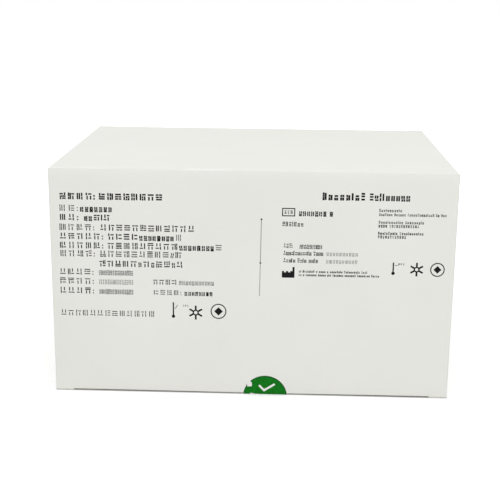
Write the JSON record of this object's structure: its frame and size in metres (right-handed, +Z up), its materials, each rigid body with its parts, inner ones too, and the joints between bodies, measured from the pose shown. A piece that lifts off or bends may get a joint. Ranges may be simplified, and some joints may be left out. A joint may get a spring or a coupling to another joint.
{
  "type": "sealed folding carton",
  "caption": "Sealed white folding carton for laboratory sampling supplies, with print fields on its front and a round paper seal folded over the lower front edge.",
  "frame": {"origin": "on the table, under the middle of the box", "axes": "+Z up to the top closure, -Y out of the printed front panel, +X to the right as the front panel is read"},
  "size_m": [0.224, 0.1591, 0.1301],
  "materials": {
    "coated_boxboard": "satin",
    "seal_paper": "satin"
  },
  "bodies": {
    "root": {"carton": "coated_boxboard", "seal_label": "seal_paper"}
  },
  "joints": []
}
